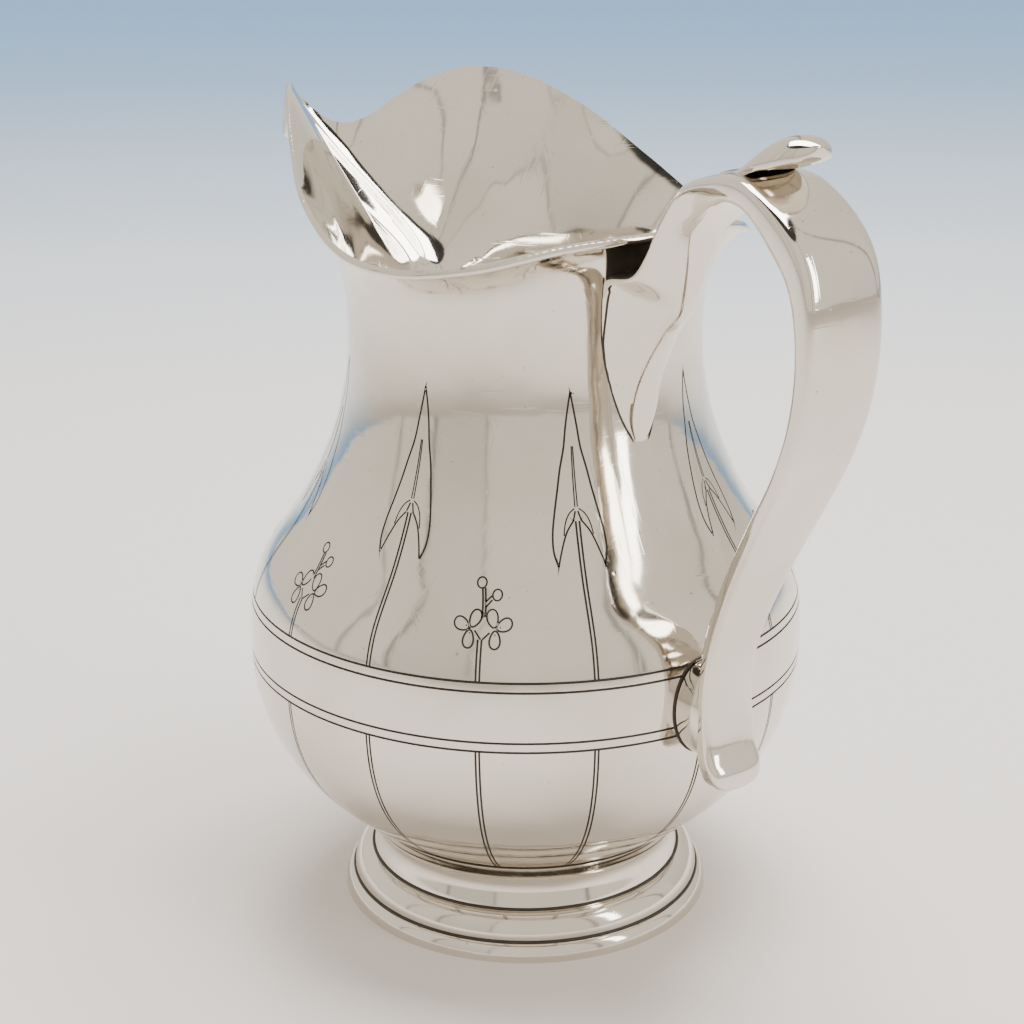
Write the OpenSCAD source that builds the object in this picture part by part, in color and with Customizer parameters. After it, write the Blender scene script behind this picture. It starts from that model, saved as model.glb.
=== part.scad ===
// Water pitcher in sheet silver: a round-bellied vessel with a beaked spout,
// a stepped foot, a hollow strap handle, a thumb rest and a boss that holds
// the foot of the handle off the belly.
// Origin: centre of the foot on the table. +X: handle, -X: spout, +Z: up.

/* [Vessel] */
// Radius of the belly at its widest
belly_r = 80; // [60:1:100]
// Height of the widest place above the table
belly_z = 81; // [70:1:100]
// Radius at the shoulder
shoulder_r = 65.5; // [58:0.5:72]
// Height of the shoulder
shoulder_z = 120; // [112:1:130]
// Radius of the neck at its narrowest
neck_r = 49.7; // [42:0.1:60]
// Height of the narrowest place of the neck
neck_z = 172; // [150:1:182]
// Thickness of the vessel's wall
wall = 0.8; // [0.5:0.1:1.5]
// Height of the vessel's floor above the table, outside
floor_z = 13.5; // [11:0.5:18]

/* [Mouth and spout] */
// Radius of the mouth, over the handle half
mouth_r = 61.4; // [54:0.1:72]
// Height of the lip at its lowest, on each side
lip_low_z = 198; // [190:1:206]
// Height of the lip at the handle
lip_back_z = 207.5; // [200:0.5:214]
// Height of the two crests beside the spout
crest_z = 233.5; // [220:0.5:250]
// Height of the dip behind the tip of the spout
dip_z = 213.4; // [206:0.1:222]
// Height of the tip of the spout
tip_z = 225; // [216:1:240]
// Distance from the axis to the tip of the spout
spout_reach = 129.8; // [105:0.1:156]
// Height of the half-round wire under the lip
lip_wire_h = 2.6; // [1.8:0.1:3.5]
// Thickness of the half-round wire under the lip
lip_wire_t = 1.3; // [0.8:0.1:2]

/* [Foot] */
// Height of the foot, from the table to the vessel
foot_h = 26.4; // [21:0.1:32]
// Radius of the seam between foot and vessel
seat_r = 47.6; // [40:0.1:56]
// Flare of the collar from its waist up to the seam
collar_flare = 3.2; // [2:0.1:4.5]
// Distance of the collar's lower edge inside the seam
collar_inset = 1.6; // [0.5:0.1:3]
// Height of the step between collar and moulding
collar_foot_z = 12.3; // [10:0.1:15]
// Width of the moulding beyond the collar
moulding_w = 5.8; // [4:0.1:8]
// Height of the step between moulding and base wire
base_h = 5; // [3:0.1:7]
// Width of the base wire beyond the moulding
base_w = 2.8; // [2:0.1:4]
// Thickness of the foot's sheet
foot_wall = 1.2; // [0.8:0.1:2]

/* [Handle] */
// Distance that the strap stands out beyond the belly
handle_out = 47.5; // [38:0.5:60]
// Height of the top of the handle
handle_top_z = 228.4; // [215:0.1:245]
// Height of the tip of the leaf on the neck
leaf_tip_z = 146.9; // [138:0.1:156]
// Height of the foot of the handle
tail_z = 65.3; // [55:0.1:75]
// Width of the strap at its widest
strap_w = 25.8; // [20:0.1:32]
// Depth of the hollow strap
strap_t = 6; // [4:0.1:8]
// Thickness of the handle's sheet
handle_wall = 1.1; // [0.8:0.1:1.6]
// Gap that the boss keeps between belly and strap
boss_gap = 6.8; // [4:0.1:10]
// Height of the middle of the boss
boss_z = 84.2; // [76:0.1:92]
// Height of the boss from end to end
boss_h = 26.4; // [18:0.1:32]
// Width of the boss
boss_w = 19; // [12:0.1:24]

/* [Thumb rest] */
// Length of the thumb rest along the strap
thumb_l = 28; // [20:0.5:34]
// Width of the thumb rest at its widest
thumb_w = 19; // [14:0.5:24]
// Swell of the underside of the thumb rest
thumb_t = 1.8; // [1:0.1:3]
// Droop of the sides of the thumb rest below its ridge
thumb_drop = 7.4; // [4:0.1:8]
// Rise of the thumb rest above the strap
thumb_rise = 10.5; // [6:0.5:14]

/* [Hidden] */
fine = 96;            // facets of the round foot pieces
around = 60;          // stations around the vessel
pole_r = 12;          // flat middle of the floor
sink = 3;             // how far the raw handle and boss run into the vessel before the cut

// ---- smooth curves through stations ----
// A station is [x, value, value ...]; smooth() gives column c at x.
function segment(s, x, i = 0) = (i >= len(s) - 2 || x < s[i + 1][0]) ? i : segment(s, x, i + 1);
function chord(s, i, c) = (s[i + 1][c] - s[i][c]) / (s[i + 1][0] - s[i][0]);
function slope(s, i, c) =
    i == 0 ? chord(s, 0, c) :
    i == len(s) - 1 ? chord(s, i - 1, c) :
    let (a = s[i][0] - s[i - 1][0], b = s[i + 1][0] - s[i][0])
    (chord(s, i - 1, c) * b + chord(s, i, c) * a) / (a + b);
function smooth(s, x, c) =
    let (i = segment(s, x), h = s[i + 1][0] - s[i][0], t = (x - s[i][0]) / h)
    s[i][c] * (1 + 2 * t) * (1 - t) * (1 - t) + s[i + 1][c] * t * t * (3 - 2 * t)
    + h * (slope(s, i, c) * t * (1 - t) * (1 - t) - slope(s, i + 1, c) * t * t * (1 - t));
function mix(a, b, t) = a + (b - a) * t;
function bezier(a, b, c, d, t) =
    a * pow(1 - t, 3) + 3 * b * t * pow(1 - t, 2) + 3 * c * t * t * (1 - t) + d * pow(t, 3);
function unit(v) = v / norm(v);

// ---- vessel ----
// Outer radius by height, seam to neck; each station is [height, radius, slope].
seat_slope = 1.5;
hip_z = mix(belly_z, shoulder_z, 0.6);
hip_r = mix(shoulder_r, belly_r, 0.74);
PROFILE = [[foot_h, seat_r, seat_slope], [belly_z, belly_r, 0],
           [hip_z, hip_r, -0.5], [shoulder_z, shoulder_r, -0.62], [neck_z, neck_r, 0]];
function profile_r(z) =
    let (i = segment(PROFILE, z), a = PROFILE[i], b = PROFILE[i + 1],
         h = b[0] - a[0], t = (z - a[0]) / h)
    a[1] * (1 + 2 * t) * (1 - t) * (1 - t) + b[1] * t * t * (3 - 2 * t)
    + h * (a[2] * t * (1 - t) * (1 - t) - b[2] * t * t * (1 - t));

// Lip by angle from the handle; each station is [angle, radius, height].
function beak_r(share) = mix(mouth_r, spout_reach, share);
function rise_z(share) = mix(lip_low_z, crest_z, share);
function fall_z(share) = mix(dip_z, crest_z, share);
LIP = [[-26, mouth_r, mix(lip_low_z, lip_back_z, 0.85)], [0, mouth_r, lip_back_z],
       [26, mouth_r, mix(lip_low_z, lip_back_z, 0.85)], [50, mouth_r, mix(lip_low_z, lip_back_z, 0.25)],
       [69, mouth_r, lip_low_z], [87, mouth_r, rise_z(0.06)], [108, beak_r(0.013), rise_z(0.35)],
       [130, beak_r(0.048), rise_z(0.76)], [150.5, beak_r(0.184), crest_z],
       [158.5, beak_r(0.294), fall_z(0.97)], [169, beak_r(0.528), fall_z(0.44)],
       [172, beak_r(0.641), fall_z(0.14)], [174.5, beak_r(0.752), dip_z],
       [177, beak_r(0.868), mix(dip_z, tip_z, 0.2)], [180, spout_reach, tip_z]];
// Throat by angle: [angle, tilt of the lip above level, pull at the neck, pull at the lip]
THROAT = [[0, 36, 0.54, 0.27], [75, 38, 0.54, 0.27], [110, 50, 0.46, 0.26], [130, 58, 0.43, 0.26],
          [150, 60, 0.4, 0.29], [165, 54, 0.3, 0.3], [180, 54, 0.2, 0.3]];
// Stations crowd together towards the spout.
function angle_at(i) =
    let (x = i / (around / 2))
    x <= 1 ? 180 * (1 - pow(1 - x, 1.35)) : -angle_at(around - i);
function on_plane(rz, a) = [rz[0] * cos(a), rz[0] * sin(a), rz[1]];

FLOOR_ROWS = [0, 0.3, 0.6, 0.85];
SIDE_ROWS = [for (k = [0 : 25]) mix(foot_h, neck_z, k / 26)];
THROAT_ROWS = [0, 0.12, 0.24, 0.36, 0.48, 0.6, 0.72, 0.82, 0.91, 1];
LIP_ROWS = [1, 0.5, 0];      // in heights of the lip wire below the lip
function floor_point(t) =
    bezier([pole_r, floor_z], [seat_r * 0.62, floor_z],
           [seat_r, foot_h] - 6 * unit([seat_slope, 1]), [seat_r, foot_h], t);
function throat_point(a, t) =
    let (q = abs(a), lip = [smooth(LIP, q, 1), smooth(LIP, q, 2)], tilt = smooth(THROAT, q, 1),
         d = norm(lip - [neck_r, neck_z]))
    bezier([neck_r, neck_z], [neck_r, neck_z + d * smooth(THROAT, q, 2)],
           lip - d * smooth(THROAT, q, 3) * [cos(tilt), sin(tilt)], lip, t);
// Share of the throat curve that the lip wire covers
function wire_share(a) =
    let (q = abs(a), lip = [smooth(LIP, q, 1), smooth(LIP, q, 2)])
    lip_wire_h / (3 * norm(lip - [neck_r, neck_z]) * smooth(THROAT, q, 3));
function meridian(a) = concat(
    [for (t = FLOOR_ROWS) on_plane(floor_point(t), a)],
    [for (z = SIDE_ROWS) on_plane([profile_r(z), z], a)],
    [for (t = THROAT_ROWS) if (t < 1) on_plane(throat_point(a, t * (1 - wire_share(a))), a)],
    [for (k = LIP_ROWS) on_plane(throat_point(a, 1 - k * wire_share(a)), a)]);

OUTER = [for (i = [0 : around - 1]) meridian(angle_at(i))];
rows = len(OUTER[0]);
function normal_at(i, j) =
    let (e = OUTER[(i + 1) % around][j] - OUTER[(i + around - 1) % around][j],
         u = OUTER[i][min(j + 1, rows - 1)] - OUTER[i][max(j - 1, 0)])
    unit(cross(e, u));
NORMAL = [for (i = [0 : around - 1]) [for (j = [0 : rows - 1]) normal_at(i, j)]];
INNER = [for (i = [0 : around - 1]) [for (j = [0 : rows - 1])
    j == 0 ? OUTER[i][0] + [0, 0, wall] : OUTER[i][j] - wall * NORMAL[i][j]]];

// Faces of a tube whose rings, each of n points, lie one after another
function ring_faces(count, n, closed) = [for (j = [0 : count - (closed ? 1 : 2)]) for (i = [0 : n - 1])
    let (a = j * n + i, b = j * n + (i + 1) % n,
         c = ((j + 1) % count) * n + (i + 1) % n, d = ((j + 1) % count) * n + i)
    each [[a, c, b], [a, d, c]]];
function cap_faces(count, n) =
    [[for (i = [0 : n - 1]) i], [for (i = [n - 1 : -1 : 0]) (count - 1) * n + i]];
// Caps of a bent skin, whose ring runs out along one side and back along the other
function skin_caps(count, n) = let (last = (count - 1) * n) [for (i = [0 : n / 2 - 2]) each [
    [i, i + 1, n - 2 - i], [i, n - 2 - i, n - 1 - i],
    [last + n - 2 - i, last + i + 1, last + i], [last + n - 1 - i, last + n - 2 - i, last + i]]];

// The open mouth closed by strips from side to side, for a vessel filled up
function mouth_faces(first) = [for (i = [0 : around / 2 - 1]) each concat(
    i > 0 ? [[first + around - i, first + i + 1, first + i]] : [],
    i < around / 2 - 1 ? [[first + (around - i) % around, first + around - i - 1, first + i + 1]] : [])];

// The vessel filled up, for cutting what is soldered to it
module vessel_filled() {
    polyhedron([for (j = [0 : rows - 1]) for (i = [0 : around - 1]) OUTER[i][j]],
               concat(ring_faces(rows, around, false), [[for (i = [0 : around - 1]) i]],
                      mouth_faces((rows - 1) * around)));
}

module vessel_body() {
    color("silver")
    polyhedron([for (j = [0 : rows - 1]) for (i = [0 : around - 1]) OUTER[i][j],
                for (j = [rows - 1 : -1 : 0]) for (i = [0 : around - 1]) INNER[i][j]],
               concat(ring_faces(2 * rows, around, false), cap_faces(2 * rows, around)));
}

// Half-round wire soldered round the outside of the lip
module lip_wire() {
    bulge = [30, 60, 90, 120, 150];
    section = 3 + len(bulge);
    color("lightgray")
    polyhedron([for (i = [0 : around - 1])
        let (low = OUTER[i][rows - 3], half = OUTER[i][rows - 2], top = OUTER[i][rows - 1],
             n = NORMAL[i][rows - 2])
        each concat([top, half, low],
            [for (b = bulge) mix(low, top, (1 - cos(b)) / 2) + n * lip_wire_t * sin(b)])],
        ring_faces(around, section, true));
}

// ---- foot ----
collar_waist_r = seat_r - collar_flare;
collar_foot_r = seat_r - collar_inset;
moulding_r = collar_foot_r + moulding_w;
foot_r = moulding_r + base_w;
function arc(centre, a, b, from, to, steps) =
    [for (k = [0 : steps]) let (q = mix(from, to, k / steps)) centre + [a * cos(q), b * sin(q)]];

// Concave collar between the vessel and the steps
module foot_collar() {
    waist_z = mix(collar_foot_z, foot_h, 0.55);
    outside = [for (k = [0 : 12]) let (t = k / 12, z = mix(collar_foot_z, foot_h, t))
        [smooth([[collar_foot_z, collar_foot_r], [waist_z, collar_waist_r], [foot_h, seat_r]], z, 1), z]];
    top_drop = foot_wall / seat_slope;      // the top edge follows the slope of the vessel
    color("gainsboro")
    rotate_extrude($fn = fine)
    polygon(concat(outside, [for (k = [12 : -1 : 0])
        outside[k] - [foot_wall, k == 12 ? top_drop : 0]]));
}

// Convex moulding under the collar
module foot_moulding() {
    centre = [collar_foot_r, base_h];
    shelf = 2 * foot_wall;
    a = moulding_r - collar_foot_r;
    b = collar_foot_z - base_h;
    color("silver")
    rotate_extrude($fn = fine)
    polygon(concat(arc(centre, a, b, 0, 90, 10), [centre + [-shelf, b], centre + [-shelf, b - foot_wall]],
                   arc(centre, a - foot_wall, b - foot_wall, 90, 0, 10)));
}

// Solid wire that the pitcher stands on
module foot_base_wire() {
    centre = [moulding_r, 0];
    color("lightgray")
    rotate_extrude($fn = fine)
    polygon(concat(arc(centre, foot_r - moulding_r, base_h, 0, 90, 8),
                   [centre + [-2 * foot_wall, base_h], centre + [-2 * foot_wall, 0]]));
}

// ---- handle ----
// Places on the strap: share 0 is the boss, share 1 the farthest reach.
function out_x(share) = mix(belly_r + boss_gap, belly_r + handle_out, share);
// Places on the root: share 0 is the neck, share 1 the strap's farthest reach.
function root_x(share) = mix(neck_r, belly_r + handle_out, share);
function up_z(share) = mix(boss_z, handle_top_z, share);
function leaf_z(share) = mix(leaf_tip_z, lip_low_z, share);
half = strap_w / 2;
// [station, outer x, outer z, outer half-width, finger x, finger z, finger half-width]
HANDLE = [
    [0,  root_x(-0.02), leaf_z(-0.02), half * 0.10, root_x(0.03), leaf_z(0.00), half * 0.06],
    [1,  root_x(-0.05), leaf_z(0.22),  half * 0.62, root_x(0.035), leaf_z(0.18), half * 0.36],
    [2,  root_x(-0.06), leaf_z(0.47),  half * 0.92, root_x(0.07), leaf_z(0.40), half * 0.38],
    [3,  root_x(-0.05), leaf_z(0.78),  half * 1.06, root_x(0.16), leaf_z(0.66), half * 0.30],
    [4,  root_x(-0.02), leaf_z(0.96),  half * 1.12, root_x(0.23), leaf_z(0.79), half * 0.26],
    [5,  root_x(0.12),  leaf_z(0.995), half * 1.06, root_x(0.27), leaf_z(0.91), half * 0.28],
    [6,  root_x(0.185), leaf_z(1.11),  half * 0.98, root_x(0.30), leaf_z(1.06), half * 0.34],
    [7,  root_x(0.245), leaf_z(1.27),  half * 0.95, root_x(0.335), leaf_z(1.21), half * 0.46],
    [8,  root_x(0.35),  leaf_z(1.49),  half * 0.93, root_x(0.41), leaf_z(1.33), half * 0.66],
    [9,  root_x(0.48),  up_z(0.989),   half * 0.94, root_x(0.50), up_z(0.936), half * 0.82],
    [10, root_x(0.60),  up_z(1.0),     half * 0.96, root_x(0.59), up_z(0.954), half * 0.92],
    [11, out_x(0.46),   up_z(0.99),    half * 0.99, out_x(0.46) - 0.41 * strap_t, up_z(0.99) - 1.1 * strap_t, half * 0.94],
    [12, out_x(0.76),   up_z(0.94),    half * 1.00, out_x(0.76) - 1.02 * strap_t, up_z(0.94) - 1.08 * strap_t, half * 0.95],
    [13, out_x(0.94),   up_z(0.87),    half * 0.98, out_x(0.94) - 1.02 * strap_t, up_z(0.87) - 0.96 * strap_t, half * 0.94],
    [14, out_x(1.00),   up_z(0.75),    half * 0.95, out_x(1.00) - 0.98 * strap_t, up_z(0.75) - 0.48 * strap_t, half * 0.92],
    [15, out_x(0.955),  up_z(0.63),    half * 0.91, out_x(0.955) - 0.98 * strap_t, up_z(0.63) - 0.24 * strap_t, half * 0.88],
    [16, out_x(0.81),   up_z(0.52),    half * 0.89, out_x(0.81) - 0.88 * strap_t, up_z(0.52) - 0.12 * strap_t, half * 0.86],
    [17, out_x(0.60),   up_z(0.41),    half * 0.86, out_x(0.60) - 0.85 * strap_t, up_z(0.41), half * 0.83],
    [18, out_x(0.36),   up_z(0.285),   half * 0.78, out_x(0.36) - 0.85 * strap_t, up_z(0.285), half * 0.74],
    [19, out_x(0.16),   up_z(0.155),   half * 0.68, out_x(0.16) - 0.75 * strap_t, up_z(0.155), half * 0.64],
    [20, out_x(0.09),   up_z(0.05),    half * 0.67, out_x(0.09) - 0.61 * strap_t, up_z(0.045), half * 0.63],
    [21, out_x(0.14),   mix(tail_z, boss_z, 0.62), half * 0.69, out_x(0.01), mix(tail_z, boss_z, 0.60), half * 0.65],
    [22, out_x(0.22),   mix(tail_z, boss_z, 0.2),  half * 0.62, out_x(0.06), mix(tail_z, boss_z, 0.16), half * 0.58],
    [23, out_x(0.20),   tail_z,        half * 0.2, out_x(0.10), tail_z, half * 0.2]];
STEPS = [for (k = [0 : 46]) k / 2];
corner = 0.62;       // 1 gives an oval section, 0 a square one
function soften(v) = sign(v) * pow(abs(v), corner);
// Ring of one section: q runs round from the seam over the outer face
function handle_point(k, q, inset) =
    let (o = [smooth(HANDLE, k, 1), smooth(HANDLE, k, 2)], f = [smooth(HANDLE, k, 4), smooth(HANDLE, k, 5)],
         depth = norm(f - o), dir = (f - o) / depth, side = soften(cos(q)), along = -soften(sin(q)),
         w = mix(smooth(HANDLE, k, 3), smooth(HANDLE, k, 6), (1 + along) / 2),
         d = max(depth / 2 - inset, 0.1), p = (o + f) / 2 + dir * along * d,
         n = side * max(w - inset, 0.1))
    [p[0], n, p[1]];
// Skin of the handle from q = from to q = to, as thick as the sheet
module handle_skin(from, to, step = 15) {
    turn = [for (q = [from : step : to]) q];
    n = 2 * len(turn);
    rings = [for (k = STEPS) each concat([for (q = turn) handle_point(k, q, 0)],
        [for (q = [to : -step : from]) handle_point(k, q, handle_wall)])];
    polyhedron(rings, concat(ring_faces(len(STEPS), n, false), skin_caps(len(STEPS), n)));
}
// The handle filled up, for cutting the boss and the thumb rest
module handle_filled() {
    n = 24;
    rings = [for (k = STEPS) each [for (i = [0 : n - 1]) handle_point(k, i * 360 / n, 0)]];
    polyhedron(rings, concat(ring_faces(len(STEPS), n, false), cap_faces(len(STEPS), n)));
}

module handle_outer_shell() {
    color("silver") difference() {
        handle_skin(0, 180);
        vessel_filled();
    }
}
module handle_inner_shell() {
    color("gainsboro") difference() {
        handle_skin(180, 360);
        vessel_filled();
    }
}

// Domed tongue that rises off the top of the strap, with drooping sides
module thumb_rest() {
    root = [out_x(0.02), up_z(1) - thumb_t / 2];
    n = 24;
    length_steps = 16;
    rings = [for (k = [0 : length_steps]) let (
        t = 1 - pow(1 - k / length_steps, 1.6),
        p = bezier(root, root + [thumb_l * 0.35, 0], root + [thumb_l * 0.6, thumb_rise * 1.55],
                   root + [thumb_l, thumb_rise * 0.85], t),
        close = sqrt(max(1 - pow(t, 6), 0.004)),
        w = thumb_w / 2 * close * mix(0.66, 1, min(t * 1.7, 1)),
        drop = close * mix(0.6, thumb_drop, min(t * 1.4, 1)))
        each [for (i = [0 : n - 1]) let (q = i * 360 / n, up = sin(q))
            [p[0], w * cos(q), p[1] - drop + (up > 0 ? drop * pow(up, 0.75) : close * thumb_t / 2 * up)]]];
    color("lightgray") difference() {
        polyhedron(rings, concat(ring_faces(length_steps + 1, n, false), cap_faces(length_steps + 1, n)));
        handle_filled();
    }
}

// Oval boss that stands the foot of the strap off the belly
module handle_boss() {
    n = 32;
    pinch = 0.9;     // the side swells between belly and strap
    ends = [-sink, boss_gap + sink];
    rings = [for (k = [0 : 8]) let (t = k / 8, s = mix(1, pinch, pow(2 * t - 1, 2)))
        each [for (i = [0 : n - 1]) let (q = -i * 360 / n)
            [belly_r + mix(ends[0], ends[1], t), s * boss_w / 2 * cos(q), boss_z + s * boss_h / 2 * sin(q)]]];
    color("silver") difference() {
        polyhedron(rings, concat(ring_faces(9, n, false), cap_faces(9, n)));
        vessel_filled();
        handle_filled();
    }
}

vessel_body();
lip_wire();
foot_collar();
foot_moulding();
foot_base_wire();
handle_outer_shell();
handle_inner_shell();
thumb_rest();
handle_boss();
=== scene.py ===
# A water pitcher in hand-raised sheet silver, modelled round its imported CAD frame.
import math
import bmesh
import bpy
from mathutils import Matrix, Vector


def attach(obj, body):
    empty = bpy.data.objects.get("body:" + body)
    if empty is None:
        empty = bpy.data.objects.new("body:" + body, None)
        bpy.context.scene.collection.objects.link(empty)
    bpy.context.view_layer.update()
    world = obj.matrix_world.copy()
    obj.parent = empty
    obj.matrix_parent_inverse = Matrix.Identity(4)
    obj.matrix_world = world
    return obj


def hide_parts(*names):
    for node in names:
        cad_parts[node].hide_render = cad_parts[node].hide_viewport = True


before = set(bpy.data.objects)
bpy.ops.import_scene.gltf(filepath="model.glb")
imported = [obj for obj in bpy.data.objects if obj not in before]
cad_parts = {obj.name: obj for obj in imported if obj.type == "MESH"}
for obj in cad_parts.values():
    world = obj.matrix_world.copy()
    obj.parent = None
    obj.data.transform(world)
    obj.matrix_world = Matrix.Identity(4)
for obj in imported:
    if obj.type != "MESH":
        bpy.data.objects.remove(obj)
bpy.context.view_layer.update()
mm = 0.001      # millimetres to metres


def mix(a, b, t):
    return a + (b - a) * t


def slopeAt(rows, i, column):
    chords = [(rows[k + 1][column] - rows[k][column]) / (rows[k + 1][0] - rows[k][0])
              for k in range(max(i - 1, 0), min(i + 1, len(rows) - 1))]
    if len(chords) == 1:
        return chords[0]
    before, after = rows[i][0] - rows[i - 1][0], rows[i + 1][0] - rows[i][0]
    return (chords[0] * after + chords[1] * before) / (before + after)


def hermite(y0, y1, m0, m1, h, t):
    return (y0 * (1 + 2 * t) * (1 - t) ** 2 + y1 * t * t * (3 - 2 * t)
            + h * (m0 * t * (1 - t) ** 2 - m1 * t * t * (1 - t)))


def smoothAt(rows, x, column):
    # value of one column on the smooth curve through rows of [x, value, value ...]
    i = max([k for k in range(len(rows) - 1) if rows[k][0] <= x], default=0)
    h = rows[i + 1][0] - rows[i][0]
    return hermite(rows[i][column], rows[i + 1][column],
                   slopeAt(rows, i, column), slopeAt(rows, i + 1, column), h, (x - rows[i][0]) / h)


def bezier(a, b, c, d, t):
    return a * (1 - t) ** 3 + b * (3 * t * (1 - t) ** 2) + c * (3 * t * t * (1 - t)) + d * t ** 3


def pieceFrom(bm, name, material, node):
    # node lists the frame's node that the piece stands for, and is None for a seam of solder
    mesh = bpy.data.meshes.new(name)
    bm.to_mesh(mesh)
    bm.free()
    for face in mesh.polygons:
        face.use_smooth = True
    piece = bpy.data.objects.new(name, mesh)
    bpy.context.scene.collection.objects.link(piece)
    mesh.materials.append(material)
    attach(piece, "root")
    if node:
        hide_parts(*node)
    return piece


def applyModifiers(piece):
    # the finished mesh takes the place of the piece's own
    evaluated = piece.evaluated_get(bpy.context.evaluated_depsgraph_get())
    mesh = bpy.data.meshes.new_from_object(evaluated)
    piece.modifiers.clear()
    piece.data = mesh


def spinAbout(bm, geometry, steps):
    bmesh.ops.spin(bm, geom=geometry, cent=(0, 0, 0), axis=(0, 0, 1), dvec=(0, 0, 0),
                   angle=math.tau, steps=steps, use_merge=True, use_duplicate=False)
    bmesh.ops.remove_doubles(bm, verts=bm.verts, dist=1e-6)


def chain(bm, points):
    verts = [bm.verts.new(point) for point in points]
    edges = [bm.edges.new(pair) for pair in zip(verts, verts[1:])]
    return verts, edges


def sweep(sections, loop=False):
    # a chain of points drawn through its later places; a loop's chain closes on itself
    bm = bmesh.new()
    verts, edges = chain(bm, sections[0])
    if loop:
        edges.append(bm.edges.new((verts[-1], verts[0])))
    for section in sections[1:]:
        grown = bmesh.ops.extrude_edge_only(bm, edges=edges)["geom"]
        edges = [item for item in grown if isinstance(item, bmesh.types.BMEdge)]
        fresh = {tuple(item.co): item for item in grown if isinstance(item, bmesh.types.BMVert)}
        verts = [fresh[tuple(vert.co)] for vert in verts]
        for vert, point in zip(verts, section):
            vert.co = point
    return bm


def closeEnds(bm):
    bmesh.ops.holes_fill(bm, edges=[edge for edge in bm.edges if edge.is_boundary])
    bmesh.ops.recalc_face_normals(bm, faces=bm.faces)


def roundLines(name, paths, width):
    # round-nosed lines of one width along open or closed paths, as one mesh
    curve = bpy.data.curves.new(name, "CURVE")
    curve.dimensions = "3D"
    curve.bevel_depth = width / 2 * mm
    curve.bevel_resolution = 1
    curve.use_fill_caps = True
    for points, closed in paths:
        spline = curve.splines.new("POLY")
        spline.points.add(len(points) - 1)
        for spot, point in zip(spline.points, points):
            spot.co = (*point, 1)
        spline.use_cyclic_u = closed
    holder = bpy.data.objects.new(name, curve)
    bpy.context.scene.collection.objects.link(holder)
    mesh = bpy.data.meshes.new_from_object(holder.evaluated_get(bpy.context.evaluated_depsgraph_get()))
    bpy.data.objects.remove(holder)
    bm = bmesh.new()
    bm.from_mesh(mesh)
    bmesh.ops.remove_doubles(bm, verts=bm.verts, dist=1e-7)
    bmesh.ops.recalc_face_normals(bm, faces=bm.faces)
    return bm


class Field:
    # wraps a socket, so that an expression on fields adds its Math nodes
    def __init__(self, tree, socket):
        self.tree, self.socket = tree, socket

    def math(self, operation, *others):
        return self.tree.add("ShaderNodeMath", {"operation": operation}, [self, *others])[0]

    def __add__(self, other):
        return self.math("ADD", other)

    def __sub__(self, other):
        return self.math("SUBTRACT", other)

    def __rsub__(self, other):
        return self.tree.number(other).math("SUBTRACT", self)

    def __mul__(self, other):
        return self.math("MULTIPLY", other)

    def __truediv__(self, other):
        return self.math("DIVIDE", other)

    __radd__ = __add__
    __rmul__ = __mul__


class NodeTree:
    # the nodes of a finish or of the tent, and the one method that adds to them
    def __init__(self, tree):
        self.nodes, self.links = tree.nodes, tree.links

    def add(self, kind, settings, inputs):
        node = self.nodes.new(kind)
        for key, value in settings.items():
            if key == "stops":
                for k, (position, colour) in enumerate(value):
                    stop = node.color_ramp.elements[k] if k < 2 else node.color_ramp.elements.new(position)
                    stop.position, stop.color = position, colour
            elif key == "value":
                node.outputs[0].default_value = value
            else:
                setattr(node, key, value)
        pairs = inputs.items() if isinstance(inputs, dict) else enumerate(inputs)
        for key, value in pairs:
            self.put(value, node.inputs[key])
        return {key: Field(self, socket) for k, socket in enumerate(node.outputs)
                for key in (k, socket.name) if socket.enabled or key == k}

    def put(self, value, socket):
        # links a field, and sets a constant on the socket itself
        if isinstance(value, Field):
            self.links.new(value.socket, socket)
        else:
            socket.default_value = value

    def number(self, value):
        return self.add("ShaderNodeValue", {"value": value}, [])[0]

    def ramp(self, field, low, high, start=0.0, end=1.0):
        inputs = {"Value": field, "From Min": low, "From Max": high, "To Min": start, "To Max": end}
        return self.add("ShaderNodeMapRange", {"clamp": True}, inputs)[0]

    def colourRamp(self, field, stops):
        return self.add("ShaderNodeValToRGB", {"stops": stops}, [field])["Color"]

    def blendColours(self, share, first, second):
        return self.add("ShaderNodeMix", {"data_type": "RGBA"}, {"Factor": share, 6: first, 7: second})[2]


class Finish(NodeTree):
    def __init__(self, name):
        self.material = bpy.data.materials.new(name)
        self.material.use_nodes = True
        super().__init__(self.material.node_tree)
        self.shader = self.nodes["Principled BSDF"]
        self.place = self.add("ShaderNodeTexCoord", {}, [])["Object"]

    def noise(self, scale, detail=2.0, roughness=0.5, stretch=(1, 1, 1), turn=(0, 0, 0)):
        where = self.add("ShaderNodeMapping", {},
                         {"Vector": self.place, "Rotation": turn, "Scale": stretch})[0]
        return self.add("ShaderNodeTexNoise", {"noise_dimensions": "3D"},
                        {"Vector": where, "Scale": scale, "Detail": detail, "Roughness": roughness})["Fac"]

    def bump(self, height, distance, strength=1.0, under=None):
        inputs = {"Height": height, "Distance": distance, "Strength": strength}
        if under is not None:
            inputs["Normal"] = under
        return self.add("ShaderNodeBump", {}, inputs)[0]

    def feed(self, **sockets):
        names = {"base": "Base Color", "rough": "Roughness", "metal": "Metallic", "normal": "Normal",
                 "glow": "Emission Color"}
        for key, value in sockets.items():
            self.put(value, self.shader.inputs[names[key]])


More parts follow.
